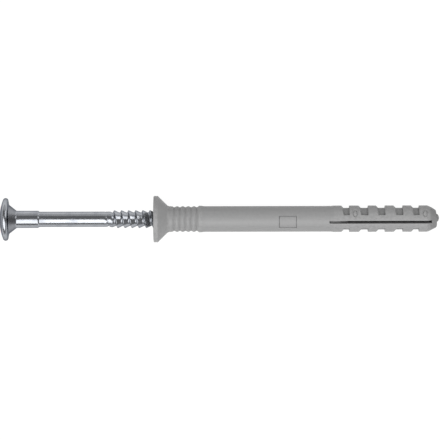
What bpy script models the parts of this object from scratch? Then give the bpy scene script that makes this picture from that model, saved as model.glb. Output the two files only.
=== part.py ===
"""Hammer fixing plug: a slit nylon sleeve with its nail screw started in the bore.

Sizes are in metres. Each piece is modelled along its own axis, with local +Z pointing from the
head towards the tip, and both are then laid down along world +X with the collar on the ground.
"""

import math

import bmesh
import bpy
from mathutils import Matrix

# Nail screw: heights run from the top of its domed head towards the point
NAIL_LENGTH = 0.0850
HEAD_DIAMETER = 0.0120
DOME_HEIGHT = 0.0008
RIM_THICKNESS = 0.00155
RIM_ROUNDING = 0.00055
RIM_WRAP = math.radians(70)
UNDERSIDE_SLOPE = 0.0004
HEAD_CONE_DIAMETER = 0.0083
NECK_DIAMETER = 0.0048
NECK_LENGTH = 0.0067
SHANK_DIAMETER = 0.00425
SHANK_LENGTH = 0.0191
POINT_LENGTH = 0.0050

# Buttress thread: the steep flank faces the head, the long flank slides in under the hammer
THREAD_DIAMETER = 0.0050
THREAD_ROOT_DIAMETER = 0.00375
THREAD_LEAD = 0.0020
THREAD_STEEP_RUN = 0.00035
THREAD_CREST_LAND = 0.00012
THREAD_ROOT_LAND = 0.00010
THREAD_RUN_OUT = 0.0015
THREAD_EMBED = 0.00010

# Cross recess in the head
RECESS_DIAMETER = 0.0046
RECESS_DEPTH = 0.0026
RECESS_WING = 0.0013
RECESS_TAPER = 0.45

# Sleeve: heights run from the open face of the collar towards the nose
SLEEVE_LENGTH = 0.0800
SLEEVE_WALL = 0.0010
BORE_CLEARANCE = 0.0001
COLLAR_DIAMETER = 0.0130
COLLAR_RIM = 0.0012
COLLAR_ROUNDING = 0.0003
COLLAR_FILLET = 0.0012
COUNTERSINK_CLEARANCE = 0.00015

# Grip rings moulded round the sleeve just behind the collar
RING_START = 0.0056
RING_COUNT = 5
RING_PITCH = 0.0016
RING_GROOVE_DEPTH = 0.00012
RING_HEIGHT = 0.00004
RING_FLAT = 0.0004
LAST_RING_HEIGHT = 0.00010
LAST_RING_LENGTH = 0.0016

# Bare field for the size mark, sunk into the plain shaft
FIELD_LENGTH = 0.00495
FIELD_ARC = math.radians(59)
FIELD_DEPTH = 0.00018
FIELD_TO_SHOULDER = 0.0093

# Expansion legs: teeth stand on both legs, with a pocket in front of each
ZONE_RISE = 0.0001
SHOULDER_FLARE = 0.0014
SHOULDER_TO_POCKET = 0.0024
FIRST_POCKET_LENGTH = 0.00295
TOOTH_COUNT = 5
TOOTH_PITCH = 0.00491
TOOTH_LENGTH = 0.0023
LAST_TOOTH_TO_TIP = 0.00561
POCKET_DEPTH = 0.0007
POCKET_ARC = math.radians(120)
RAMP_LENGTH = 0.0007
SLIT_WIDTH = 0.0006
SLIT_ANGLE = math.radians(18)
SLIT_LEAD = 0.0001
SLIT_RUN_OUT = 0.0052
SLIT_END_TO_TIP = 0.0020

# Bore of the legs: it narrows so that the nail has to spread them
LEG_BORE_DIAMETER = 0.0024
NARROWING_LENGTH = 0.0040
NARROWING_TO_FIRST_TOOTH = 0.00275
BORE_END_TO_TIP = 0.0025

# Ejector marks on the first and the last tooth of one leg
MARK_DIAMETER = 0.0015
MARK_LINE = 0.0003
MARK_DEPTH = 0.00008
MARK_FROM_WALL = 0.0018
MARK_ANGLE = math.radians(-26)

# Closed nose with the nib that the mould's gate leaves
NOSE_LENGTH = 0.0032
NOSE_FACE_DIAMETER = 0.0049
NIB_DIAMETER = 0.0024
NIB_HEIGHT = 0.0008
NIB_ROUNDING = 0.0003

# How far the nail slides in before its point starts to spread the legs, and where it stops
FREE_DRIVE = 0.0170
POINT_GAP = 0.0003

# Facets: both pieces share one count, so that the collar and the head lie on a flat at once
TURN_STEPS = 32
THREAD_STEPS = 16
MARK_STEPS = 16
DOME_RINGS = 3
ARC_STEP = math.radians(30)
SECTOR_STEP = math.radians(10)
MERGE_DISTANCE = 0.00001
CUT_MARGIN = 0.0010
SHARP_ANGLE = math.radians(35)

# Places that follow from the sizes
bore_radius = THREAD_DIAMETER / 2 + BORE_CLEARANCE
shaft_radius = bore_radius + SLEEVE_WALL
collar_radius = COLLAR_DIAMETER / 2
zone_radius = shaft_radius + ZONE_RISE
floor_radius = zone_radius - POCKET_DEPTH
last_tooth = SLEEVE_LENGTH - LAST_TOOTH_TO_TIP
first_tooth = last_tooth - (TOOTH_COUNT - 1) * TOOTH_PITCH
first_pocket = first_tooth - FIRST_POCKET_LENGTH
shoulder = first_pocket - SHOULDER_TO_POCKET
narrowing_start = first_tooth - NARROWING_TO_FIRST_TOOTH
narrowing_end = narrowing_start + NARROWING_LENGTH
narrowing_slope = (bore_radius - LEG_BORE_DIAMETER / 2) / NARROWING_LENGTH
point_stop = (narrowing_start + (bore_radius - THREAD_ROOT_DIAMETER / 2) / narrowing_slope
              + POINT_LENGTH - POINT_GAP)
nail_insertion = point_stop - FREE_DRIVE
head_stand_off = NAIL_LENGTH - nail_insertion
neck_start = (DOME_HEIGHT + RIM_THICKNESS + UNDERSIDE_SLOPE
              + (HEAD_CONE_DIAMETER - NECK_DIAMETER) / 2)
neck_end = neck_start + NECK_LENGTH
thread_start = neck_end + SHANK_LENGTH
thread_end = NAIL_LENGTH - POINT_LENGTH


def clear_scene():
    for obj in list(bpy.data.objects):
        bpy.data.objects.remove(obj, do_unlink=True)


def new_collection(name):
    collection = bpy.data.collections.new(name)
    bpy.context.scene.collection.children.link(collection)
    return collection


def new_material(name, colour, roughness, metallic):
    material = bpy.data.materials.new(name)
    material.use_nodes = True
    shader = material.node_tree.nodes["Principled BSDF"]
    shader.inputs["Base Color"].default_value = (*colour, 1.0)
    shader.inputs["Roughness"].default_value = roughness
    shader.inputs["Metallic"].default_value = metallic
    material.diffuse_color = (*colour, 1.0)
    return material


def new_object(name, mesh, collection):
    obj = bpy.data.objects.new(name, mesh)
    collection.objects.link(obj)
    return obj


def arc(centre, radii, start, end):
    """Points (radius, height) along an elliptical arc, from the start angle to the end angle."""
    steps = max(2, math.ceil(abs(end - start) / ARC_STEP))
    angles = [start + (end - start) * i / steps for i in range(steps + 1)]
    return [(centre[0] + radii[0] * math.cos(a), centre[1] + radii[1] * math.sin(a)) for a in angles]


def turned(name, outline, collection):
    """Revolve an outline of (radius, height) points, tip first, with flat facets facing the ground."""
    turn = math.pi / TURN_STEPS
    bm = bmesh.new()
    corners = [bm.verts.new((r * math.cos(turn), r * math.sin(turn), h)) for r, h in outline]
    for lower, upper in zip(corners, corners[1:]):
        bm.edges.new((lower, upper))
    mesh = bpy.data.meshes.new(name)
    bm.to_mesh(mesh)
    bm.free()
    obj = new_object(name, mesh, collection)
    screw = obj.modifiers.new("Turn", "SCREW")
    screw.axis = "Z"
    screw.steps = TURN_STEPS
    screw.render_steps = TURN_STEPS
    screw.use_merge_vertices = True
    screw.merge_threshold = MERGE_DISTANCE
    return obj


def add_sweep(bm, outline, start, turn, steps, rise=0.0):
    """Sweep a closed (radius, height) outline about Z, climbing by rise on the way."""
    corners = [bm.verts.new((r * math.cos(start), r * math.sin(start), h)) for r, h in outline]
    face = bm.faces.new(corners)
    bmesh.ops.spin(bm, geom=corners + list(face.edges) + [face], cent=(0, 0, 0), axis=(0, 0, 1),
                   dvec=(0, 0, rise / steps), angle=turn, steps=steps)


def add_prism(bm, points, travel):
    """Extrude a flat outline of points along travel, and return the corners of its far end."""
    corners = [bm.verts.new(point) for point in points]
    face = bm.faces.new(corners)
    extruded = bmesh.ops.extrude_face_region(bm, geom=[face])["geom"]
    far_end = [item for item in extruded if isinstance(item, bmesh.types.BMVert)]
    bmesh.ops.translate(bm, verts=far_end, vec=travel)
    return far_end


def finish_cutter(name, bm, collection):
    """Turn a cutter's faces outwards, make them flat triangles and keep it out of sight."""
    bmesh.ops.recalc_face_normals(bm, faces=bm.faces)
    bmesh.ops.triangulate(bm, faces=bm.faces)
    mesh = bpy.data.meshes.new(name)
    bm.to_mesh(mesh)
    bm.free()
    return hide(new_object(name, mesh, collection))


def hide(obj):
    obj.hide_render = True
    obj.display_type = "WIRE"
    return obj


def combine(obj, other, operation):
    other.parent = obj
    boolean = obj.modifiers.new(other.name, "BOOLEAN")
    boolean.operation = operation
    boolean.object = other


def nail_outline():
    """Point, threaded root, shank, neck, cone and domed head, from the point to the dome."""
    head_radius = HEAD_DIAMETER / 2
    rim_centre = (head_radius - RIM_ROUNDING, DOME_HEIGHT + RIM_THICKNESS / 2)
    rim = arc(rim_centre, (RIM_ROUNDING, RIM_THICKNESS / 2), math.radians(90), -RIM_WRAP)
    dome_edge, dome_edge_height = rim[-1]
    dome_radius = (dome_edge ** 2 + dome_edge_height ** 2) / (2 * dome_edge_height)
    dome_angle = math.asin(dome_edge / dome_radius)
    dome = []
    for ring in reversed(range(1, DOME_RINGS)):
        angle = dome_angle * ring / DOME_RINGS
        dome.append((dome_radius * math.sin(angle), dome_radius * (1 - math.cos(angle))))
    return [
        (0.0, NAIL_LENGTH),
        (THREAD_ROOT_DIAMETER / 2, thread_end),
        (THREAD_ROOT_DIAMETER / 2, thread_start + THREAD_RUN_OUT),
        (SHANK_DIAMETER / 2, thread_start),
        (SHANK_DIAMETER / 2, neck_end),
        (NECK_DIAMETER / 2, neck_end),
        (NECK_DIAMETER / 2, neck_start),
        (HEAD_CONE_DIAMETER / 2, DOME_HEIGHT + RIM_THICKNESS + UNDERSIDE_SLOPE),
        *rim,
        *dome,
        (0.0, 0.0),
    ]


def thread_ridge(collection):
    """One buttress ridge wound up the nail, whose crest fades into the blank at both ends."""
    base = THREAD_ROOT_DIAMETER / 2 - THREAD_EMBED
    crest = THREAD_DIAMETER / 2
    width = THREAD_LEAD - THREAD_ROOT_LAND
    steps = math.floor((thread_end - thread_start - width) / THREAD_LEAD * THREAD_STEPS)
    turns = steps / THREAD_STEPS
    ridge_end = thread_start + turns * THREAD_LEAD + width
    outline = [
        (base, thread_start),
        (crest, thread_start + THREAD_STEEP_RUN),
        (crest, thread_start + THREAD_STEEP_RUN + THREAD_CREST_LAND),
        (base, thread_start + width),
    ]
    bm = bmesh.new()
    add_sweep(bm, outline, 0.0, turns * math.tau, steps, turns * THREAD_LEAD)
    for vert in bm.verts:
        radius = vert.co.xy.length
        share = min(vert.co.z - thread_start, ridge_end - vert.co.z) / THREAD_RUN_OUT
        limit = base + (crest - base) * share
        if radius > limit:
            vert.co.xy *= limit / radius
    return finish_cutter("thread_ridge", bm, collection)


def cross_recess(collection):
    """Four tapering wings sunk into the dome."""
    reach = RECESS_DIAMETER / 2
    wing = RECESS_WING / 2
    points = []
    for quarter in range(4):
        turn = quarter * math.radians(90)
        for x, y in ((reach, -wing), (reach, wing), (wing, wing)):
            points.append((x * math.cos(turn) - y * math.sin(turn),
                           x * math.sin(turn) + y * math.cos(turn), -CUT_MARGIN))
    bm = bmesh.new()
    floor = add_prism(bm, points, (0, 0, RECESS_DEPTH + CUT_MARGIN))
    bmesh.ops.scale(bm, verts=floor, vec=(RECESS_TAPER, RECESS_TAPER, 1))
    return finish_cutter("cross_recess", bm, collection)


def build_nail(parts, cutters, material):
    nail = turned("nail_screw", nail_outline(), parts)
    nail.data.materials.append(material)
    combine(nail, thread_ridge(cutters), "UNION")
    combine(nail, cross_recess(cutters), "DIFFERENCE")
    return nail


def ring_outline():
    """Grip rings from the last, stronger one back to the collar."""
    groove = shaft_radius - RING_GROOVE_DEPTH
    ring = shaft_radius + RING_HEIGHT
    last_groove = RING_START + (RING_COUNT - 1) * RING_PITCH
    last_ring = last_groove + RING_PITCH / 2
    points = [
        (shaft_radius, last_ring + LAST_RING_LENGTH),
        (shaft_radius + LAST_RING_HEIGHT, last_ring + RING_FLAT / 2),
        (shaft_radius + LAST_RING_HEIGHT, last_ring - RING_FLAT / 2),
    ]
    for i in reversed(range(RING_COUNT)):
        centre = RING_START + i * RING_PITCH
        points.append((groove, centre + RING_FLAT / 2))
        points.append((groove, centre - RING_FLAT / 2))
        if i > 0:
            points.append((ring, centre - RING_PITCH / 2 + RING_FLAT / 2))
            points.append((ring, centre - RING_PITCH / 2 - RING_FLAT / 2))
    return points


def collar_outline():
    """Fillet, 90 degree cone and rounded rim, from the shaft to the open face."""
    half_turn = math.radians(45)
    cone_top = COLLAR_RIM
    cone_foot = cone_top + collar_radius - shaft_radius
    fillet_centre = (shaft_radius + COLLAR_FILLET,
                     cone_foot + COLLAR_FILLET * math.tan(half_turn / 2))
    fillet = arc(fillet_centre, (COLLAR_FILLET, COLLAR_FILLET), math.pi, math.pi + half_turn)
    rim_centre = collar_radius - COLLAR_ROUNDING
    back = arc((rim_centre, cone_top - COLLAR_ROUNDING * math.tan(half_turn / 2)),
               (COLLAR_ROUNDING, COLLAR_ROUNDING), half_turn, 0.0)
    front = arc((rim_centre, COLLAR_ROUNDING), (COLLAR_ROUNDING, COLLAR_ROUNDING), 0.0,
                -math.radians(90))
    return fillet + back + front


def sleeve_outline():
    """Nose, legs, shaft and collar outside, then the countersink and the stepped bore inside."""
    nose_face = SLEEVE_LENGTH - NIB_HEIGHT
    nib_radius = NIB_DIAMETER / 2
    mouth = HEAD_CONE_DIAMETER / 2 + COUNTERSINK_CLEARANCE
    bore_end = SLEEVE_LENGTH - BORE_END_TO_TIP
    leg_bore = LEG_BORE_DIAMETER / 2
    return [
        (0.0, SLEEVE_LENGTH),
        (nib_radius - NIB_ROUNDING, SLEEVE_LENGTH),
        (nib_radius, SLEEVE_LENGTH - NIB_ROUNDING),
        (nib_radius, nose_face),
        (NOSE_FACE_DIAMETER / 2, nose_face - NIB_ROUNDING),
        (zone_radius, SLEEVE_LENGTH - NOSE_LENGTH),
        (zone_radius, shoulder + SHOULDER_FLARE),
        (shaft_radius, shoulder),
        *ring_outline(),
        *collar_outline(),
        (mouth, 0.0),
        (bore_radius, mouth - bore_radius),
        (bore_radius, narrowing_start),
        (leg_bore, narrowing_end),
        (leg_bore, bore_end - leg_bore),
        (0.0, bore_end),
    ]


def tooth_pockets(collection):
    """Pockets on both legs: a ramp down from the tooth behind, a floor and the next tooth's wall."""
    steps = math.ceil(POCKET_ARC / SECTOR_STEP)
    outside = zone_radius + CUT_MARGIN
    flare = CUT_MARGIN * RAMP_LENGTH / POCKET_DEPTH
    bm = bmesh.new()
    for i in range(TOOTH_COUNT):
        wall = first_tooth + i * TOOTH_PITCH
        top = first_pocket if i == 0 else wall - TOOTH_PITCH + TOOTH_LENGTH
        outline = [(floor_radius, wall), (outside, wall), (outside, top - flare),
                   (floor_radius, top + RAMP_LENGTH)]
        for side in (0.0, math.pi):
            start = SLIT_ANGLE + side + (math.pi - POCKET_ARC) / 2
            add_sweep(bm, outline, start, POCKET_ARC, steps)
    return finish_cutter("tooth_pockets", bm, collection)


def leg_slit(collection):
    """Slit through both walls: it runs out towards the collar and stops short of the nose."""
    start = shoulder - SLIT_LEAD
    end = SLEEVE_LENGTH - SLIT_END_TO_TIP
    outside = zone_radius + CUT_MARGIN
    slope = (shaft_radius - bore_radius) / SLIT_RUN_OUT
    entry = start - CUT_MARGIN / slope
    through = start + SLIT_RUN_OUT
    side = -SLIT_WIDTH / 2
    points = [(shaft_radius + CUT_MARGIN, side, entry), (bore_radius, side, through),
              (-bore_radius, side, through), (-shaft_radius - CUT_MARGIN, side, entry),
              (-outside, side, entry), (-outside, side, end), (outside, side, end),
              (outside, side, entry)]
    bm = bmesh.new()
    add_prism(bm, points, (0, SLIT_WIDTH, 0))
    slit = finish_cutter("leg_slit", bm, collection)
    slit.rotation_euler.z = SLIT_ANGLE
    return slit


def size_field(collection):
    """Shallow bare field, in line with the slit."""
    end = shoulder - FIELD_TO_SHOULDER
    start = end - FIELD_LENGTH
    floor = shaft_radius - FIELD_DEPTH
    outside = shaft_radius + CUT_MARGIN
    outline = [(floor, start), (floor, end), (outside, end), (outside, start)]
    bm = bmesh.new()
    add_sweep(bm, outline, SLIT_ANGLE - FIELD_ARC / 2, FIELD_ARC, math.ceil(FIELD_ARC / SECTOR_STEP))
    return finish_cutter("size_field", bm, collection)


def ejector_marks(collection):
    """Two fine circles sunk into the first and the last tooth of one leg."""
    outer = MARK_DIAMETER / 2
    inner = outer - MARK_LINE
    bm = bmesh.new()
    for tooth in (first_tooth, last_tooth):
        made = len(bm.verts)
        outline = [(outer, -MARK_DEPTH), (outer, CUT_MARGIN), (inner, CUT_MARGIN),
                   (inner, -MARK_DEPTH)]
        corners = [bm.verts.new((radius, 0.0, height)) for radius, height in outline]
        edges = [bm.edges.new((corners[i - 1], corners[i])) for i in range(len(corners))]
        bmesh.ops.spin(bm, geom=corners + edges, cent=(0, 0, 0), axis=(0, 0, 1), angle=math.tau,
                       steps=MARK_STEPS, use_merge=True)
        bm.verts.ensure_lookup_table()
        place = (Matrix.Rotation(MARK_ANGLE, 4, "Z")
                 @ Matrix.Translation((zone_radius, 0.0, tooth + MARK_FROM_WALL))
                 @ Matrix.Rotation(math.radians(90), 4, "Y"))
        bmesh.ops.transform(bm, matrix=place, verts=bm.verts[made:])
    return finish_cutter("ejector_marks", bm, collection)


def build_sleeve(parts, cutters, material):
    sleeve = turned("plug_sleeve", sleeve_outline(), parts)
    sleeve.data.materials.append(material)
    combine(sleeve, tooth_pockets(cutters), "DIFFERENCE")
    combine(sleeve, leg_slit(cutters), "DIFFERENCE")
    combine(sleeve, size_field(cutters), "DIFFERENCE")
    combine(sleeve, ejector_marks(cutters), "DIFFERENCE")
    return sleeve


def lay_down(pieces, collection):
    """Lay the shared axis along +X: the slit then faces up and the collar touches the ground."""
    axis = new_object("plug_axis", None, collection)
    overall = head_stand_off + SLEEVE_LENGTH
    lift = max(collar_radius, HEAD_DIAMETER / 2) * math.cos(math.pi / TURN_STEPS)
    axis.location = (head_stand_off - overall / 2, 0.0, lift)
    axis.rotation_euler = (math.radians(180), math.radians(-90), 0.0)
    for piece, offset in pieces:
        piece.parent = axis
        piece.location.z = offset


def apply_modifiers(obj):
    """Turn the modifier stack into a plain mesh, smooth but for its real edges."""
    bpy.context.view_layer.update()
    evaluated = obj.evaluated_get(bpy.context.evaluated_depsgraph_get())
    mesh = bpy.data.meshes.new_from_object(evaluated)
    obj.modifiers.clear()
    obj.data = mesh
    mesh.name = obj.name
    mesh.shade_smooth()
    mesh.set_sharp_from_angle(angle=SHARP_ANGLE)


def main():
    clear_scene()
    parts = new_collection("hammer_fixing_plug")
    cutters = new_collection("cutters")
    zinc = new_material("zinc_plated_steel", (0.60, 0.61, 0.63), 0.22, 1.0)
    nylon = new_material("grey_nylon", (0.32, 0.32, 0.32), 0.50, 0.0)
    nail = build_nail(parts, cutters, zinc)
    sleeve = build_sleeve(parts, cutters, nylon)
    lay_down([(sleeve, 0.0), (nail, -head_stand_off)], parts)
    for piece in (nail, sleeve):
        apply_modifiers(piece)


main()
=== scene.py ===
import math

import bmesh
import bpy
from mathutils import Matrix, Vector


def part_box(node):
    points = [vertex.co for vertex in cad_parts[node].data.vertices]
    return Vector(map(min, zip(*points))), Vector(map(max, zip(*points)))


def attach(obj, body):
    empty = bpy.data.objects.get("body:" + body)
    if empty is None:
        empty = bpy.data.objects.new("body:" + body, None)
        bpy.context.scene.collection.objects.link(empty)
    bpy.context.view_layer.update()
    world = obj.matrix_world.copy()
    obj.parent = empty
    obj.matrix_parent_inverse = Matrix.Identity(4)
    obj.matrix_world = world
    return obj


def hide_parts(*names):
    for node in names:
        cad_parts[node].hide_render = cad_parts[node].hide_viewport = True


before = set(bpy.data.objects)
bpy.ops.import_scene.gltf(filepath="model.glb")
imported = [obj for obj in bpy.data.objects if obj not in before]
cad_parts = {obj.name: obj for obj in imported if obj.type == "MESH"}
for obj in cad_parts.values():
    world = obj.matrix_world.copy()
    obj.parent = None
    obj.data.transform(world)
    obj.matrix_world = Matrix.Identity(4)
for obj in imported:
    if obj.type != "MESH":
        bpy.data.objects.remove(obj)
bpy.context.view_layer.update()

# Nail screw
# One piece of cold-formed steel wire: the head and its cone are upset, the thread is rolled, and
# the whole is zinc plated. It is only started in the sleeve, whose bore holds its thread.
# Sizes are in millimetres, and heights run from the top of the domed head towards the point.

MM = 0.001
HEAD_RADIUS = 6.0
DOME_HEIGHT = 1.05
RIM_THICKNESS = 1.4
RIM_ROUNDING = 0.6
RIM_WRAP = math.radians(70)
HEAD_CONE_RADIUS = 4.06
HEAD_CONE_START = 2.75
HEAD_CONE_END = 4.82
UNDERCUT_RISE = 0.32
CONE_FILLET = 0.45
NECK_RADIUS = 2.4
NECK_END = 11.2
NECK_CHAMFER = 0.32
SHANK_RADIUS = 2.125
THREAD_START = 29.2
THREAD_END = 80.0
THREAD_LEAD = 2.0
THREAD_PHASE = 0.28
CREST_RUN_OUT = (1.7, 3.0)
ROOT_RUN_OUT = 1.8
POINT_RUN_OUT = 2.5
ROOT_RADIUS = 1.875
NAIL_LENGTH = 85.0
POINT_RADIUS = 0.25
NAIL_STEPS = 96
DOME_STEPS = 16
CORNER = 0.02
SUPPORT = 0.2
NAIL_WELD = 0.002
RECESS_REACH = 2.3
RECESS_WING = 0.65
RECESS_DEPTH = 2.6
RECESS_TAPER = 0.45
RECESS_CHAMFER = 0.1
RECESS_LEAD_IN = 0.22
SHARP_ANGLE = 40

# One lead of the buttress thread: steep flank, crest, long flank and root
THREAD_SHAPE = [(0.0, 1.875), (0.06, 1.895), (0.12, 1.96), (0.2, 2.14), (0.28, 2.34), (0.34, 2.45),
                (0.39, 2.49), (0.44, 2.5), (0.49, 2.49), (0.58, 2.45), (0.9, 2.31), (1.3, 2.12),
                (1.62, 1.97), (1.8, 1.905), (1.92, 1.88), (2.0, 1.875)]

sleeve_low, sleeve_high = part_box("plug_sleeve")
axis_height = (sleeve_low.z + sleeve_high.z) / 2


def arc(centre, radii, start, end, steps):
    """Points (height, radius) along an elliptical arc, whose angles start at the widest point."""
    angles = [start + (end - start) * i / steps for i in range(steps + 1)]
    return [(centre[0] + radii[0] * math.sin(a), centre[1] + radii[1] * math.cos(a))
            for a in angles]


def chain(bm, points):
    """Join (height, radius) points by edges, in the half plane of angle zero."""
    corners = [bm.verts.new((radius, 0.0, height)) for height, radius in points]
    return corners + [bm.edges.new(pair) for pair in zip(corners, corners[1:])]


def spin(bm, geometry, turn, steps, rise=0.0):
    """Spin geometry about the axis, and give back what it ends in."""
    return bmesh.ops.spin(bm, geom=geometry, cent=(0, 0, 0), axis=(0, 0, 1), angle=turn,
                          dvec=(0, 0, rise / steps), steps=steps)["geom_last"]


def everything(bm):
    return list(bm.verts) + list(bm.edges) + list(bm.faces)


def fade(value, start, end):
    """Zero before start, one after end, and smooth between them."""
    share = min(1.0, max(0.0, (value - start) / (end - start)))
    return share * share * (3 - 2 * share)


def set_radius(vert, radius):
    vert.co.xy *= radius / vert.co.xy.length


def lay_down(bm, start):
    """Lay a shape turned about +Z, in millimetres, along +X. Its +X side then faces up."""
    place = Matrix(((0, 0, MM, start), (0, -MM, 0, 0), (MM, 0, 0, axis_height), (0, 0, 0, 1)))
    bmesh.ops.transform(bm, matrix=place, verts=bm.verts)


def make_object(name, bm, sharp_angle):
    bmesh.ops.recalc_face_normals(bm, faces=bm.faces)
    mesh = bpy.data.meshes.new(name)
    bm.to_mesh(mesh)
    bm.free()
    mesh.shade_smooth()
    mesh.set_sharp_from_angle(angle=math.radians(sharp_angle))
    obj = bpy.data.objects.new(name, mesh)
    bpy.context.scene.collection.objects.link(obj)
    return obj


def weld_to_spokes(bm, height, steps):
    """Move the loose corners of a cut at this height onto the even spokes beside them."""
    pitch = math.tau / steps
    rim = [v for v in bm.verts if v.is_boundary and abs(v.co.z - height) < 0.001]
    spokes = {}
    strays = []
    for vert in rim:
        place = math.atan2(vert.co.y, vert.co.x) / pitch
        if abs(place - round(place)) < 0.001:
            spokes[round(place) % steps] = vert
        else:
            strays.append((vert, round(place) % steps))
    bmesh.ops.weld_verts(bm, targetmap={vert: spokes[spoke] for vert, spoke in strays})


# Thread: one lead spun up the nail, cut square and faded into the shank and into the point
nail_mesh = bmesh.new()
thread_bottom = THREAD_START - (THREAD_START - THREAD_PHASE) % THREAD_LEAD - THREAD_LEAD
thread_turns = 1
one_lead = [(thread_bottom + height, radius) for height, radius in THREAD_SHAPE]
spin(nail_mesh, chain(nail_mesh, one_lead), math.tau, NAIL_STEPS, THREAD_LEAD)
while thread_bottom + thread_turns * THREAD_LEAD < THREAD_END + THREAD_LEAD:
    above = bmesh.ops.duplicate(nail_mesh, geom=everything(nail_mesh))["geom"]
    bmesh.ops.translate(nail_mesh, vec=(0, 0, thread_turns * THREAD_LEAD),
                        verts=[item for item in above if isinstance(item, bmesh.types.BMVert)])
    thread_turns *= 2
bmesh.ops.remove_doubles(nail_mesh, verts=nail_mesh.verts, dist=NAIL_WELD)
for cut, side in ((THREAD_START, -1), (THREAD_END, 1)):
    bmesh.ops.bisect_plane(nail_mesh, geom=everything(nail_mesh), dist=0.0001,
                           plane_co=(0, 0, cut), plane_no=(0, 0, side), clear_outer=True)
    weld_to_spokes(nail_mesh, cut, NAIL_STEPS)
for vert in nail_mesh.verts:
    depth = vert.co.xy.length - SHANK_RADIUS
    if depth > 0:
        shown = fade(vert.co.z, THREAD_START + CREST_RUN_OUT[0], THREAD_START + CREST_RUN_OUT[1])
    else:
        shown = fade(vert.co.z, THREAD_START, THREAD_START + ROOT_RUN_OUT)
    radius = SHANK_RADIUS + depth * shown
    run_out = fade(vert.co.z, THREAD_END - POINT_RUN_OUT, THREAD_END)
    set_radius(vert, radius + (ROOT_RADIUS - radius) * run_out)

# Blank: the dome, rim, cone, neck and shank, and beyond the thread the point
dome_edge = arc((DOME_HEIGHT + RIM_THICKNESS / 2, HEAD_RADIUS - RIM_ROUNDING),
                (RIM_THICKNESS / 2, RIM_ROUNDING), -RIM_WRAP, math.radians(90), 14)
edge_height, edge_radius = dome_edge[0]
dome_radius = (edge_radius ** 2 + edge_height ** 2) / (2 * edge_height)
dome_angle = math.asin(edge_radius / dome_radius)
dome_angles = [dome_angle * i / DOME_STEPS for i in range(DOME_STEPS)]
dome = [(dome_radius * (1 - math.cos(angle)), dome_radius * math.sin(angle))
        for angle in dome_angles]
cone_slope = math.atan((HEAD_CONE_RADIUS - NECK_RADIUS) / (HEAD_CONE_END - HEAD_CONE_START))
cone_foot = arc((HEAD_CONE_END + CONE_FILLET * math.tan(cone_slope / 2),
                 NECK_RADIUS + CONE_FILLET),
                (-CONE_FILLET, -CONE_FILLET), cone_slope, 0.0, 5)
blank = dome + dome_edge + [
    (HEAD_CONE_START - 0.1, HEAD_CONE_RADIUS + UNDERCUT_RISE),
    (HEAD_CONE_START, HEAD_CONE_RADIUS),
    (HEAD_CONE_START + 0.06, HEAD_CONE_RADIUS - 0.06),
    *cone_foot,
    (HEAD_CONE_END + 1.0, NECK_RADIUS),
    (NECK_END - NECK_CHAMFER - SUPPORT, NECK_RADIUS),
    (NECK_END - NECK_CHAMFER - CORNER, NECK_RADIUS),
    (NECK_END - NECK_CHAMFER + CORNER, NECK_RADIUS - CORNER),
    (NECK_END - CORNER, SHANK_RADIUS + CORNER),
    (NECK_END + CORNER, SHANK_RADIUS),
    (NECK_END + SUPPORT, SHANK_RADIUS),
    (THREAD_START - 1.0, SHANK_RADIUS),
    (THREAD_START, SHANK_RADIUS),
]
point = [(THREAD_END, ROOT_RADIUS), (THREAD_END + 0.15, ROOT_RADIUS - 0.03),
         (NAIL_LENGTH - 0.3, POINT_RADIUS), (NAIL_LENGTH - 0.1, POINT_RADIUS * 0.6),
         (NAIL_LENGTH, 0.0)]
for part in (blank, point):
    spin(nail_mesh, chain(nail_mesh, part), math.tau, NAIL_STEPS)
bmesh.ops.remove_doubles(nail_mesh, verts=nail_mesh.verts, dist=NAIL_WELD)
bmesh.ops.dissolve_degenerate(nail_mesh, edges=nail_mesh.edges, dist=0.0005)
nail_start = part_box("nail_screw")[1].x - NAIL_LENGTH * MM
lay_down(nail_mesh, nail_start)
nail = make_object("zinc_nail", nail_mesh, SHARP_ANGLE)

# Cross recess: the punch tapers, and rolls the dome's edge over where it goes in
punch = bmesh.new()
cross = []
for quarter in range(4):
    turn = math.radians(90 * quarter)
    for x, y in ((RECESS_REACH, -RECESS_WING), (RECESS_REACH, RECESS_WING),
                 (RECESS_WING, RECESS_WING)):
        cross.append((x * math.cos(turn) - y * math.sin(turn),
                      x * math.sin(turn) + y * math.cos(turn)))
loops = []
for height, size in ((-1.0, 1.0 + RECESS_CHAMFER), (0.02, 1.0 + RECESS_CHAMFER),
                     (RECESS_LEAD_IN, 1.0), (RECESS_DEPTH, RECESS_TAPER)):
    ring = [punch.verts.new((x * size, y * size, height)) for x, y in cross]
    loops.append([punch.edges.new(pair) for pair in zip(ring, ring[1:] + ring[:1])])
for outer, inner in zip(loops, loops[1:]):
    bmesh.ops.bridge_loops(punch, edges=outer + inner)
for end in (loops[0], loops[-1]):
    bmesh.ops.edgeloop_fill(punch, edges=end)
lay_down(punch, nail_start)
punch = make_object("punch", punch, SHARP_ANGLE)
press = nail.modifiers.new("recess", "BOOLEAN")
press.operation = "DIFFERENCE"
press.object = punch
bpy.context.view_layer.update()
pressed = nail.evaluated_get(bpy.context.evaluated_depsgraph_get())
nail.data = bpy.data.meshes.new_from_object(pressed)
nail.modifiers.clear()
bpy.data.objects.remove(punch)


class Signal:
    """A value that varies over a surface: arithmetic on it adds Math nodes."""

    def __init__(self, finish, socket):
        self.finish = finish
        self.socket = socket

    def __add__(self, other):
        return self.finish.maths("ADD", self, other)

    def __sub__(self, other):
        return self.finish.maths("SUBTRACT", self, other)

    def __rsub__(self, other):
        return self.finish.maths("SUBTRACT", other, self)

    def __mul__(self, other):
        return self.finish.maths("MULTIPLY", self, other)

    __radd__ = __add__
    __rmul__ = __mul__


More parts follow.
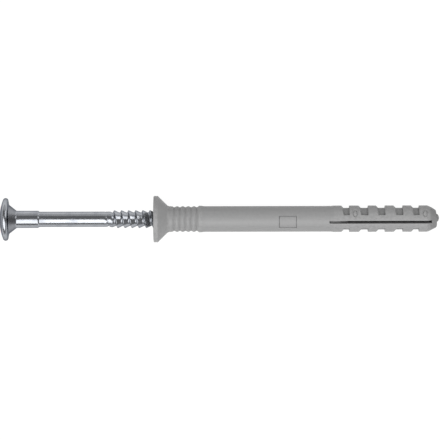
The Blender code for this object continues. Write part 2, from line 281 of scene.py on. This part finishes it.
class Finish:
    """A material that is built up node by node into its Principled shader."""

    def __init__(self, name, **constants):
        self.material = bpy.data.materials.new(name)
        self.material.use_nodes = True
        self.tree = self.material.node_tree
        self.shader = self.tree.nodes["Principled BSDF"]
        for socket, value in constants.items():
            self.shader.inputs[socket.replace("_", " ")].default_value = value
        self.place = self.node("ShaderNodeTexCoord", output="Object")

    def node(self, kind, settings=None, sockets=None, output=0):
        made = self.tree.nodes.new(kind)
        for setting, value in (settings or {}).items():
            setattr(made, setting, value)
        for socket, value in (sockets or {}).items():
            if isinstance(value, Signal):
                self.tree.links.new(value.socket, made.inputs[socket])
            else:
                made.inputs[socket].default_value = value
        return Signal(self, made.outputs[output])

    def stretched(self, along, across):
        """Object coordinates with their own scale along the axis and across it."""
        return self.node("ShaderNodeMapping", sockets={"Vector": self.place,
                                                       "Scale": (along, across, across)})

    def maths(self, operation, *values):
        return self.node("ShaderNodeMath", {"operation": operation}, dict(enumerate(values)))

    def from_axis(self):
        """Distance from the part's long axis, in metres."""
        centred = self.node("ShaderNodeVectorMath", {"operation": "SUBTRACT"},
                            {0: self.place, 1: (0, 0, axis_height)})
        across = self.node("ShaderNodeVectorMath", {"operation": "MULTIPLY"},
                           {0: centred, 1: (0, 1, 1)})
        return self.node("ShaderNodeVectorMath", {"operation": "LENGTH"}, {0: across}, "Value")

    def noise(self, scale, detail=3.0, place=None):
        return self.node("ShaderNodeTexNoise", sockets={
            "Vector": place or self.place, "Scale": scale, "Detail": detail, "Roughness": 0.6})

    def within(self, value, low, high):
        """Zero at low, one at high, and clamped outside them."""
        return self.node("ShaderNodeMapRange", {"interpolation_type": "SMOOTHSTEP"},
                         {"Value": value, "From Min": low, "From Max": high})

    def blend(self, share, first, second):
        return self.node("ShaderNodeMix", {"data_type": "RGBA"},
                         {0: share, 6: first, 7: second}, output=2)

    def feed(self, socket, value):
        self.tree.links.new(value.socket, self.shader.inputs[socket])

    def bump(self, height, strength, distance):
        self.feed("Normal", self.node("ShaderNodeBump", sockets={
            "Strength": strength, "Distance": distance, "Height": height}))


# Zinc: cool and bright, with drawing lines along the wire, soft cloudy patches and fine handling
# marks. The marks have a darker plating; the same dark colour is painted on the cone under the
# head as a dark reflection and into the roots of the thread as shade.
zinc = Finish("bright_zinc", Metallic=1.0, Specular_Tint=(0.28, 0.29, 0.31, 1.0))
drawn = zinc.noise(1.0, 4.0, zinc.stretched(60, 5200))
clouds = zinc.noise(420.0, 4.0)
pits = zinc.noise(5200.0, 2.0)
stain = zinc.within(clouds, 0.42, 0.72)
plate = zinc.blend(stain, (0.41, 0.425, 0.45, 1), (0.33, 0.345, 0.375, 1))
lined = zinc.blend(zinc.within(drawn, 0.5, 0.8) * 0.4, plate, (0.52, 0.535, 0.55, 1))
radius = zinc.from_axis()
# Painted shade: the roots of the thread, and the point, which lie nearer the axis, are darkened
root = 1 - zinc.within(radius, 0.00190, 0.00206)
# Painted dark reflection: what lies 2.6 to 4 mm from the axis, mostly the cone under the head, is
# darkened all round
head_cone_painted_reflection = zinc.within(radius, 0.00245, 0.00262) * (1 - zinc.within(radius, 0.0040, 0.0044))
marks = zinc.within(pits, 0.62, 0.8)
# One darkening of the plating: real handling marks, with the painted shade and painted reflection
# above
dark_marks_and_painted_shade = zinc.maths("MINIMUM", root * 0.1 + head_cone_painted_reflection * 0.65 + marks * 0.2, 1.0)
zinc.feed("Base Color", zinc.blend(dark_marks_and_painted_shade, lined, (0.19, 0.195, 0.21, 1)))
zinc.feed("Roughness", 0.16 + zinc.within(clouds, 0.3, 0.8) * 0.12
          + zinc.within(pits, 0.5, 0.8) * 0.1 + dark_marks_and_painted_shade * 0.06)
zinc.bump(drawn * 0.6 + pits * 0.4, 0.13, 0.00003)
nail.data.materials.append(zinc.material)
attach(nail, "nail")
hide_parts("nail_screw")


# Plug sleeve
# One moulding in grey nylon: countersunk collar, grip rings, plain shaft with a sunk field, and
# two toothed legs parted by a slit. Core pins leave the bore, and the gate a nib on the nose.
# Heights run from the open face of the collar, and angles from the middle of the slit.

SLEEVE_LENGTH = 80.0
SHAFT_RADIUS = 3.6
LEG_RADIUS = 3.7
BORE_RADIUS = 2.6
LEG_BORE_RADIUS = 1.2
CORE_TIP_RADIUS = 0.55
COLLAR_RADIUS = 6.5
COLLAR_RIM = 1.2
COLLAR_ROUNDING = 0.3
COLLAR_FILLET = 1.2
MOUTH_RADIUS = 4.3
RING_START = 5.8
RING_PITCH = 1.575
RING_COUNT = 5
GROOVE_DEPTH = 0.3
LAST_RING_HEIGHT = 0.13
FIELD = (35.12, 40.06)
FIELD_HALF_ARC = 29.5
FIELD_DEPTH = 0.15
FIELD_LINE = (0.05, 0.13)
FIELD_LINE_INSET = 0.08
FIELD_LINE_DEPTH = 0.16
SHOULDER = (49.4, 50.8)
POCKETS = ((52.37, 54.79), (57.24, 60.04), (62.10, 64.80), (67.03, 69.78), (71.90, 74.33))
TOOTH_LENGTH = 2.3
POCKET_DEPTH = 0.66
POCKET_RAMP = 0.6
POCKET_LEAN = 0.7
POCKET_HALF_GAP = 32.0
SLIT = (49.25, 77.89)
SLIT_THROUGH = 54.45
SLIT_FLOOR = 0.14
SLIT_ANGLE = math.radians(16)
SLIT_COLUMNS = (0.0, 5.6, 6.3, 7.4)
SLIT_HALF_WIDTHS = (0.0, 0.36, 0.40, 0.47)
SLIT_EDGE_ROUNDING = 0.035
NARROWING = (52.0, 56.0)
CORE_CONE = (76.3, 77.5)
CORE_END = 78.4
MARK_ANGLE = -42.0
MARK_FROM_WALL = 1.6
MARK_RADIUS = 0.55
MARK_SQUEEZE = 0.6
MARK_LINE = (0.08, 0.2)
MARK_DEPTH = 0.24
NOSE_START = 76.6
NOSE_FACE = 79.2
NOSE_FACE_RADIUS = 2.4
NOSE_CURVE = 1.25
NIB_RADIUS = 1.2
NIB_START = 79.2
NOSE_TILT = 0.06
NIB_SHIFT = 0.25
PARTING_ANGLE = math.radians(36)
EDGE = 0.05
CLOSEST_ROWS = 0.008
FINE_ROWS = 0.03
RAMP_ROWS = 0.09
SLEEVE_WELD = 0.0002

FIRST_WALL, LAST_WALL = POCKETS[0][1], POCKETS[-1][1]


def spread(start, end, gap):
    """Even places from start up to end, at most a gap apart, without the end itself."""
    count = max(1, math.ceil((end - start) / gap))
    return [start + (end - start) * i / count for i in range(count)]


def ring_height(height):
    """Grip rings: rounded grooves one after another, then one stronger ring that runs out."""
    last_groove = RING_START + (RING_COUNT - 1) * RING_PITCH
    crest = last_groove + RING_PITCH / 2
    if height < RING_START - RING_PITCH / 2 or height > crest + RING_PITCH:
        return 0.0
    if height > crest:
        return LAST_RING_HEIGHT * (1 - fade(height, crest + 0.1, crest + RING_PITCH))
    wave = (1 + math.cos(math.tau * (height - RING_START) / RING_PITCH)) / 2
    rise = LAST_RING_HEIGHT * fade(height, last_groove, crest)
    return rise - (GROOVE_DEPTH + rise) * wave ** 1.5


def outer_radius(height, angle):
    """Radius of the shaft and the legs at a height, in millimetres, and an angle, in degrees."""
    around = abs(angle)
    radius = (SHAFT_RADIUS + (LEG_RADIUS - SHAFT_RADIUS) * fade(height, *SHOULDER)
              + ring_height(height))
    if height > NOSE_START:
        share = (height - NOSE_START) / (NOSE_FACE - NOSE_START)
        radius = LEG_RADIUS + (NOSE_FACE_RADIUS - LEG_RADIUS) * share ** NOSE_CURVE
    in_field = (fade(height, FIELD[0] - EDGE, FIELD[0] + EDGE)
                * (1 - fade(height, FIELD[1] - EDGE, FIELD[1] + EDGE))
                * (1 - fade(around, FIELD_HALF_ARC - 0.8, FIELD_HALF_ARC + 0.3)))
    radius -= FIELD_DEPTH * in_field
    beyond_ends = max(FIELD[0] - height, height - FIELD[1])
    beyond_sides = math.radians(around - FIELD_HALF_ARC) * SHAFT_RADIUS
    off_line = abs(max(beyond_ends, beyond_sides) + FIELD_LINE_INSET)
    radius -= FIELD_LINE_DEPTH * (1 - fade(off_line, *FIELD_LINE))
    on_leg = (fade(around, POCKET_HALF_GAP - 0.6, POCKET_HALF_GAP + 0.8)
              * fade(180 - around, POCKET_HALF_GAP - 0.6, POCKET_HALF_GAP + 0.8))
    lean = POCKET_LEAN * (90 - min(around, 180 - around)) / (90 - POCKET_HALF_GAP)
    for top, wall in POCKETS:
        if top < height < wall + EDGE:
            down = min(1.0, max(0.0, (height - top - lean) / POCKET_RAMP))
            radius -= POCKET_DEPTH * on_leg * down * (1 - fade(height, wall - EDGE, wall + EDGE))
    for wall in (FIRST_WALL, LAST_WALL):
        around_mark = math.radians(angle - MARK_ANGLE) * LEG_RADIUS * MARK_SQUEEZE
        offset = math.hypot(height - wall - MARK_FROM_WALL, around_mark)
        radius -= MARK_DEPTH * (1 - fade(abs(offset - MARK_RADIUS), *MARK_LINE))
    return radius


def bore_radius(height):
    if height < CORE_CONE[0]:
        share = min(1.0, max(0.0, (height - NARROWING[0]) / (NARROWING[1] - NARROWING[0])))
        return BORE_RADIUS + (LEG_BORE_RADIUS - BORE_RADIUS) * share
    share = min(1.0, (height - CORE_CONE[0]) / (CORE_CONE[1] - CORE_CONE[0]))
    return LEG_BORE_RADIUS + (CORE_TIP_RADIUS - LEG_BORE_RADIUS) * share


# Rows along the legs, which the outside and the bore share so that the slit's walls can join them
leg_rows = [SLIT_THROUGH, SLIT_THROUGH + EDGE]
for top, wall in POCKETS:
    ramp_end = top + POCKET_LEAN + POCKET_RAMP + 0.1
    leg_rows += [top - 0.04, top] + spread(top + 0.06, ramp_end, RAMP_ROWS)
    leg_rows += spread(ramp_end, wall - EDGE, 0.4)
    leg_rows += [wall + EDGE * i / 2 for i in range(-2, 3)] + [wall + 0.12]
for wall in (FIRST_WALL, LAST_WALL):
    leg_rows += spread(wall + 0.9, wall + TOOTH_LENGTH + 0.35, 0.1)
leg_rows += [CORE_CONE[0], CORE_CONE[1], NOSE_START - 0.1, NOSE_START, NOSE_START + 0.12]
leg_rows += spread(NOSE_START + 0.3, SLIT[1] - EDGE, 0.15)
leg_rows += [SLIT[1] - EDGE, SLIT[1]]
leg_rows = sorted(height for height in set(leg_rows) if height >= SLIT_THROUGH)
leg_rows = [height for i, height in enumerate(leg_rows)
            if i == 0 or height - leg_rows[i - 1] > CLOSEST_ROWS
            or height in (SLIT[1], SLIT_THROUGH + EDGE)]

half_turn = math.radians(45)
cone_foot_height = COLLAR_RIM + COLLAR_RADIUS - SHAFT_RADIUS
rim_centre = COLLAR_RADIUS - COLLAR_ROUNDING
collar = (
    [(0.1, MOUTH_RADIUS - 0.1), (0.02, MOUTH_RADIUS + 0.03), (0.0, MOUTH_RADIUS + 0.12),
     (0.0, 5.4)]
    + arc((COLLAR_ROUNDING, rim_centre), (COLLAR_ROUNDING, COLLAR_ROUNDING),
          -math.radians(90), 0.0, 6)
    + arc((COLLAR_RIM - COLLAR_ROUNDING * math.tan(half_turn / 2), rim_centre),
          (COLLAR_ROUNDING, COLLAR_ROUNDING), 0.0, half_turn, 4)
    + arc((cone_foot_height + COLLAR_FILLET * math.tan(half_turn / 2),
           SHAFT_RADIUS + COLLAR_FILLET),
          (-COLLAR_FILLET, -COLLAR_FILLET), half_turn, 0.0, 6)
)
shaft_rows = (spread(RING_START - RING_PITCH / 2 + 0.1, 14.5, 0.16)
              + spread(14.5, FIELD[0] - 0.1, 1.5)
              + spread(FIELD[0] - 0.1, FIELD[0] + 0.28, FINE_ROWS)
              + spread(FIELD[0] + 0.3, FIELD[1] - 0.3, 1.0)
              + spread(FIELD[1] - 0.28, FIELD[1] + 0.1, FINE_ROWS)
              + spread(40.5, SLIT[0] - 0.1, 1.2)
              + [SLIT[0] - EDGE] + spread(SLIT[0], SHOULDER[1], 0.14)
              + [POCKETS[0][0] - 0.5, POCKETS[0][0] - 0.04]
              + spread(POCKETS[0][0], POCKETS[0][0] + POCKET_LEAN + POCKET_RAMP + 0.1, RAMP_ROWS)
              + [53.8, 54.15])
nose = [(NOSE_FACE - 0.9, None), (NOSE_FACE - 0.5, None), (NOSE_FACE - 0.2, None),
        (NOSE_FACE, None),
        (NOSE_FACE + 0.08, NOSE_FACE_RADIUS - 0.2), (NOSE_FACE + 0.1, 1.7),
        (NOSE_FACE + 0.12, NIB_RADIUS + 0.12), (NOSE_FACE + 0.18, NIB_RADIUS + 0.02)]
nose += arc((NIB_START, 0.0), (SLEEVE_LENGTH - NIB_START, NIB_RADIUS),
            math.radians(15), math.radians(80), 7)
nose += [(SLEEVE_LENGTH, 0.0)]

# The outline runs along the outside to the nose and back through the bore
OUTSIDE, SHAPED, BORE = 0, 1, 2
outline = [(OUTSIDE, height, radius) for height, radius in collar]
outline += [(SHAPED, height, None) for height in shaft_rows + leg_rows]
outline += [(OUTSIDE if radius is not None else SHAPED, height, radius) for height, radius in nose]
outline += [(BORE, CORE_END, 0.0), (BORE, CORE_END, CORE_TIP_RADIUS)]
outline += [(BORE, height, None) for height in reversed(leg_rows)]
outline += [(BORE, height, None) for height in (54.0, 53.0, NARROWING[0])]
outline += [(BORE, height, None) for height in reversed(spread(4.0, NARROWING[0] - 1, 3.0))]
outline += [(OUTSIDE, MOUTH_RADIUS - BORE_RADIUS, BORE_RADIUS)]

sleeve_mesh = bmesh.new()
row_of = sleeve_mesh.verts.layers.int.new("row")
start_points = []
for kind, height, radius in outline:
    if radius is None:
        radius = bore_radius(height) if kind == BORE else outer_radius(height, 0.0)
    start_points.append((height, radius))
section = chain(sleeve_mesh, start_points)
for row, vert in enumerate(item for item in section if isinstance(item, bmesh.types.BMVert)):
    vert[row_of] = row
corners = [item for item in section if isinstance(item, bmesh.types.BMVert)]
section.append(sleeve_mesh.edges.new((corners[-1], corners[0])))

# Columns: close beside the slit and at the edges of the pockets, even between them
quarter = [*SLIT_COLUMNS[1:], 10.5] + spread(14.0, 25.0, 4.0) + spread(25.2, 30.2, 0.6)
quarter += [30.7] + spread(POCKET_HALF_GAP - 0.6, POCKET_HALF_GAP + 1.0, 0.35)
quarter += spread(POCKET_HALF_GAP + 1.0, 57.0, 1.6) + spread(57.0, 90.0, 4.2)
half = [0.0] + quarter + [90.0] + [180 - place for place in reversed(quarter)]
columns = half + [180 + place for place in half] + [360.0]
for start, end in zip(columns, columns[1:]):
    section = spin(sleeve_mesh, section, math.radians(end - start), 1)
bmesh.ops.remove_doubles(sleeve_mesh, verts=sleeve_mesh.verts, dist=SLEEVE_WELD)


def slit_column(angle):
    """Which of the columns beside the slit an angle is, counted from its middle, or None."""
    nearest = min(abs(angle), 180 - abs(angle))
    for column, place in enumerate(SLIT_COLUMNS):
        if abs(nearest - place) < 0.1:
            return column
    return None


def shape_corner(vert):
    """Put a corner of the sleeve where the moulding has it. True where the slit opens."""
    kind, height, radius = outline[vert[row_of]]
    angle = math.degrees(math.atan2(vert.co.y, vert.co.x))
    if radius is not None:
        return False
    radius = outer_radius(height, angle) if kind == SHAPED else bore_radius(height)
    first = SLIT[0] if kind == SHAPED else SLIT_THROUGH
    column = slit_column(angle)
    if first <= height <= SLIT[1]:
        if kind == SHAPED and column is not None:
            if column < 2 and height < SLIT_THROUGH + EDGE / 2:
                radius = bore_radius(height) + SLIT_FLOOR
            elif column < 2 and height < SLIT[1] - EDGE / 2:
                radius = bore_radius(height)
            elif column == 2:
                radius -= SLIT_EDGE_ROUNDING * fade(height, SLIT[0], SLIT[0] + 0.8)
        if column is not None:
            around = math.degrees(math.asin(SLIT_HALF_WIDTHS[column] / radius))
        elif kind == BORE:
            edge = math.degrees(math.asin(SLIT_HALF_WIDTHS[-1] / radius))
            side = min(abs(angle), 180 - abs(angle))
            around = edge + (side - SLIT_COLUMNS[-1]) * (90 - edge) / (90 - SLIT_COLUMNS[-1])
        else:
            around = min(abs(angle), 180 - abs(angle))
        angle = math.copysign(around if abs(angle) <= 90 else 180 - around, angle)
    turn = math.radians(angle)
    vert.co = (radius * math.cos(turn), radius * math.sin(turn), height)
    return (column in (0, 1)
            and SLIT_THROUGH + EDGE / 2 < height < SLIT[1] - EDGE / 2)


opened = {vert for vert in sleeve_mesh.verts if shape_corner(vert)}
gap = [face for face in sleeve_mesh.faces if all(vert in opened for vert in face.verts)]
bmesh.ops.delete(sleeve_mesh, geom=gap, context="FACES")
bmesh.ops.remove_doubles(sleeve_mesh, verts=sleeve_mesh.verts, dist=SLEEVE_WELD)
wires = [edge for edge in sleeve_mesh.edges if edge.is_wire]
bmesh.ops.delete(sleeve_mesh, geom=wires, context="EDGES")
for vert in sleeve_mesh.verts:
    vert.co.z += NOSE_TILT * vert.co.y * fade(vert.co.z, 78.2, NOSE_FACE)
    vert.co.y -= NIB_SHIFT * fade(vert.co.z, NOSE_FACE + 0.05, NOSE_FACE + 0.2)
bmesh.ops.rotate(sleeve_mesh, cent=(0, 0, 0), matrix=Matrix.Rotation(SLIT_ANGLE, 3, "Z"),
                 verts=sleeve_mesh.verts)
lay_down(sleeve_mesh, sleeve_low.x)
sleeve = make_object("nylon_sleeve", sleeve_mesh, SHARP_ANGLE)

# Nylon: mid grey, faintly mottled, with flow streaks along the length and a satin, fine-grained
# skin. It has a faint parting line, painted shade in what is sunk and a patchy painted highlight
# on what is proud.
nylon = Finish("grey_nylon", IOR=1.53)
mottle = nylon.noise(1300.0, 5.0)
flow = nylon.noise(1.0, 4.0, nylon.stretched(55, 1300))
grain = nylon.noise(6500.0, 2.0)
base = nylon.blend(nylon.within(mottle, 0.3, 0.72),
                   (0.317, 0.317, 0.318, 1), (0.342, 0.342, 0.342, 1))
flowed = nylon.blend(nylon.within(flow, 0.45, 0.75) * 0.3, base, (0.37, 0.37, 0.37, 1))
radius = nylon.from_axis()
proud = nylon.within(radius, 0.00366, 0.00371) * (1 - nylon.within(radius, 0.0039, 0.0041))
collar_edge = nylon.within(radius, 0.0063, 0.00648)
# Painted highlight: the tooth tops and the collar's edge are paler, in patches
painted_highlight = (proud + collar_edge) * nylon.within(grain + mottle, 0.85, 1.2)
# Painted shade: pocket floors, groove bottoms and the bore, below the shaft's surface, are
# darkened
sunk = 1 - nylon.within(radius, 0.00325, 0.00348)
skin = nylon.blend(sunk * 0.65, flowed, (0.23, 0.23, 0.231, 1))
nylon.feed("Base Color", nylon.blend(painted_highlight * 0.5, skin, (0.43, 0.43, 0.43, 1)))
nylon.feed("Roughness", 0.40 + nylon.within(mottle, 0.3, 0.7) * 0.12 + painted_highlight * 0.12
           + sunk * 0.1)
across = nylon.node("ShaderNodeVectorMath", {"operation": "DOT_PRODUCT"}, {
    0: nylon.place, 1: (0, math.cos(PARTING_ANGLE), math.sin(PARTING_ANGLE))}, "Value")
beside = nylon.maths("ABSOLUTE", across - axis_height * math.sin(PARTING_ANGLE))
parting = 1 - nylon.within(beside, 0.00002, 0.00009)
nylon.bump(grain * 0.35 + mottle * 0.25 + flow * 0.2 + parting * 0.8, 0.3, 0.00006)
sleeve.data.materials.append(nylon.material)
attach(sleeve, "sleeve")
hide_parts("plug_sleeve")


# Floor
# A pale studio floor with a low upturned edge, so that low views end in the same white. It shows
# white to the camera and in the zinc, and keeps the part's shadow.

FLOOR_RADIUS = 2.4
FLOOR_EDGE = 0.2
FLOOR_DROP = 0.0001
WHITE_SHARE = 0.85
floor_mesh = bmesh.new()
bmesh.ops.create_circle(floor_mesh, cap_ends=True, radius=FLOOR_RADIUS, segments=96)
rim = [edge for edge in floor_mesh.edges if edge.is_boundary]
lifted = bmesh.ops.extrude_edge_only(floor_mesh, edges=rim)["geom"]
bmesh.ops.translate(floor_mesh, vec=(0, 0, FLOOR_EDGE),
                    verts=[item for item in lifted if isinstance(item, bmesh.types.BMVert)])
floor = make_object("studio_floor", floor_mesh, 30)
floor.location.z = -FLOOR_DROP
paper = Finish("white_paper")
matt = paper.node("ShaderNodeBsdfDiffuse", sockets={"Color": (0.55, 0.55, 0.55, 1)})
glow = paper.node("ShaderNodeEmission", sockets={"Strength": 1.14})
seen = (paper.node("ShaderNodeLightPath", output="Is Camera Ray")
        + paper.node("ShaderNodeLightPath", output="Is Glossy Ray")
        + paper.node("ShaderNodeLightPath", output="Is Transmission Ray"))
surface = paper.node("ShaderNodeMixShader", sockets={0: seen * WHITE_SHARE, 1: matt, 2: glow})
paper.tree.links.new(surface.socket, paper.tree.nodes["Material Output"].inputs["Surface"])
paper.tree.nodes.remove(paper.shader)
floor.data.materials.append(paper.material)


# Lights and camera
# One long softbox on the near side, a weak fill on the far side, a small softbox beyond the tip
# and an even grey room, with the camera straight above the part as in the photograph.

def softbox(name, place, length, width, level):
    """A rectangle of light that looks at the part, its length kept level."""
    lamp = bpy.data.lights.new(name, "AREA")
    lamp.shape = "RECTANGLE"
    lamp.size = length
    lamp.size_y = width
    lamp.energy = level * math.pi * length * width
    box = bpy.data.objects.new(name, lamp)
    box.location = place
    box.rotation_euler = Vector(place).to_track_quat("Z", "Y").to_euler()
    box.visible_camera = False
    bpy.context.scene.collection.objects.link(box)


softbox("key_softbox", (-0.18, -0.38, 0.71), 1.5, 0.74, 2.4)
softbox("fill_softbox", (0, 0.83, 0.34), 1.5, 0.5, 0.42)
softbox("side_softbox", (0.59, 0.40, 0.55), 0.5, 0.4, 2.3)
room = bpy.data.worlds.new("grey_room")
room.use_nodes = True
room.node_tree.nodes["Background"].inputs["Color"].default_value = (1, 1, 1, 1)
room.node_tree.nodes["Background"].inputs["Strength"].default_value = 0.22
bpy.context.scene.world = room

FRAME_WIDTH = 0.1234
LENS = 230.0
SENSOR = 36.0
lens = bpy.data.cameras.new("camera")
lens.lens = LENS
lens.sensor_width = SENSOR
camera = bpy.data.objects.new("camera", lens)
camera.location = (0.00023, -0.00029, axis_height + FRAME_WIDTH * LENS / SENSOR)
camera.rotation_euler = (0, 0, math.radians(-0.12))
lens.clip_end = 10
bpy.context.scene.collection.objects.link(camera)
bpy.context.scene.camera = camera
bpy.context.scene.view_settings.view_transform = "Standard"
